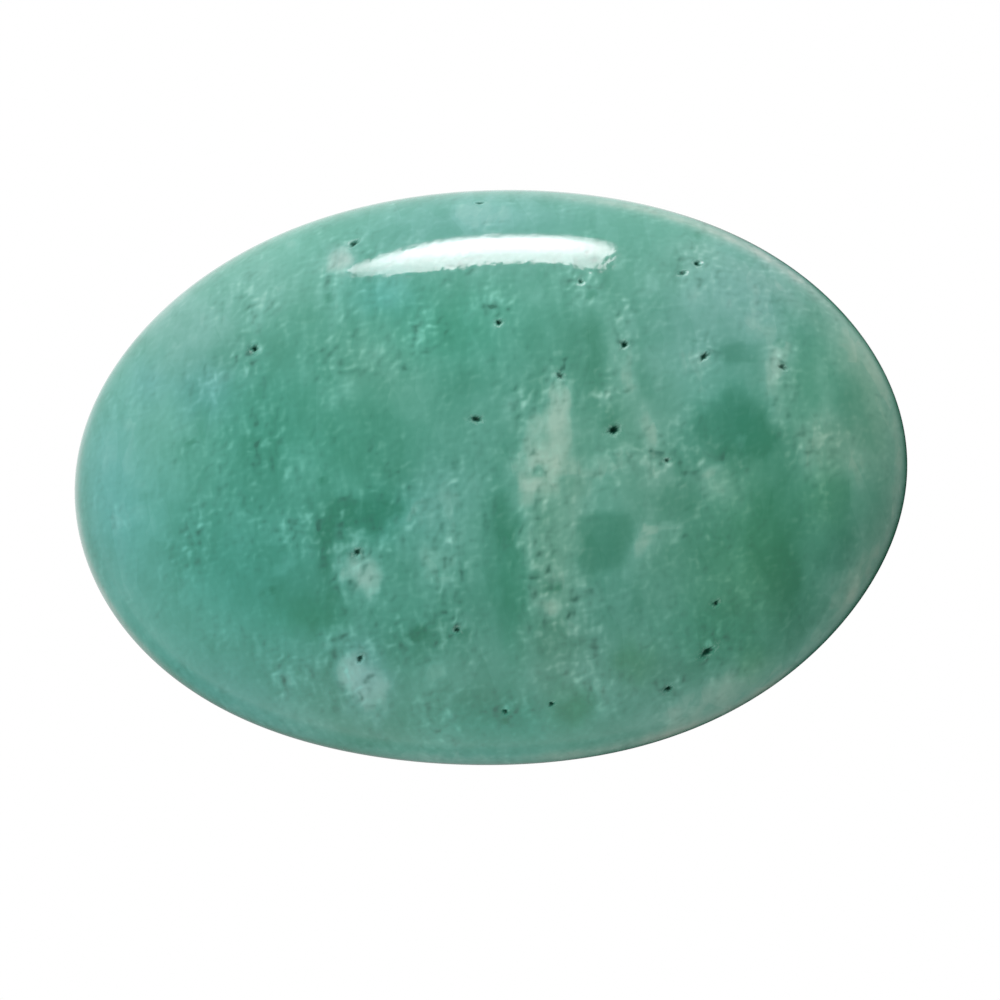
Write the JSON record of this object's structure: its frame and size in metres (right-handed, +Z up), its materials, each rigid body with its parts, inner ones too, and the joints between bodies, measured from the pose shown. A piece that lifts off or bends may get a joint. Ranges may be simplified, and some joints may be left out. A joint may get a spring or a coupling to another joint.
{
  "type": "amazonite palm stone",
  "caption": "Polished oval amazonite pebble, domed above and below its widest line, with a small flat spot underneath to rest on and natural pits in its polish.",
  "frame": {"origin": "middle of the small flat spot that the stone rests on", "axes": "+X along the stone, +Y across it, +Z up through its thickness"},
  "size_m": [0.0649, 0.0448, 0.021],
  "materials": {
    "amazonite": "polished"
  },
  "bodies": {
    "root": {"palm_stone": "amazonite"}
  },
  "joints": []
}
